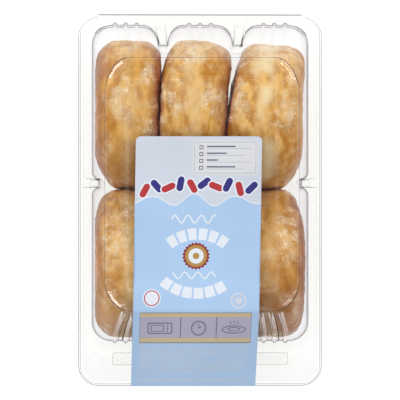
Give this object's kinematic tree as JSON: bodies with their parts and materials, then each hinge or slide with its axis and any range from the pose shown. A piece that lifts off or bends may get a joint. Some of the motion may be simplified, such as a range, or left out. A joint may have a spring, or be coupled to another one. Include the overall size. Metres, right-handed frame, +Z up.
{
  "type": "box of doughnuts",
  "caption": "Clear hinged clamshell pack of glazed ring doughnuts standing on edge in rows, with a printed paper label bent over the lid.",
  "frame": {"origin": "centre of the overall box, at the surface that the tray's foot rests on", "axes": "+Z up, +Y towards the hinge, +X to the right with the label's foot towards the reader"},
  "size_m": [0.142, 0.2169, 0.0916],
  "materials": {
    "clear_plastic": "gloss",
    "label_paper": "satin",
    "glazed_crust": "satin"
  },
  "bodies": {
    "tray": {"base_tray": "clear_plastic", "hinge_bead": "clear_plastic", "doughnut_1": "glazed_crust", "doughnut_2": "glazed_crust", "doughnut_3": "glazed_crust", "doughnut_4": "glazed_crust", "doughnut_5": "glazed_crust", "doughnut_6": "glazed_crust"},
    "lid": {"lid": "clear_plastic", "label": "label_paper"}
  },
  "joints": [
    {"name": "lid_hinge", "type": "hinge", "parent": "tray", "child": "lid", "pos_m": [0, 0.1078, 0.046], "axis": [-1, 0, 0], "range_deg": [0, 180]}
  ]
}
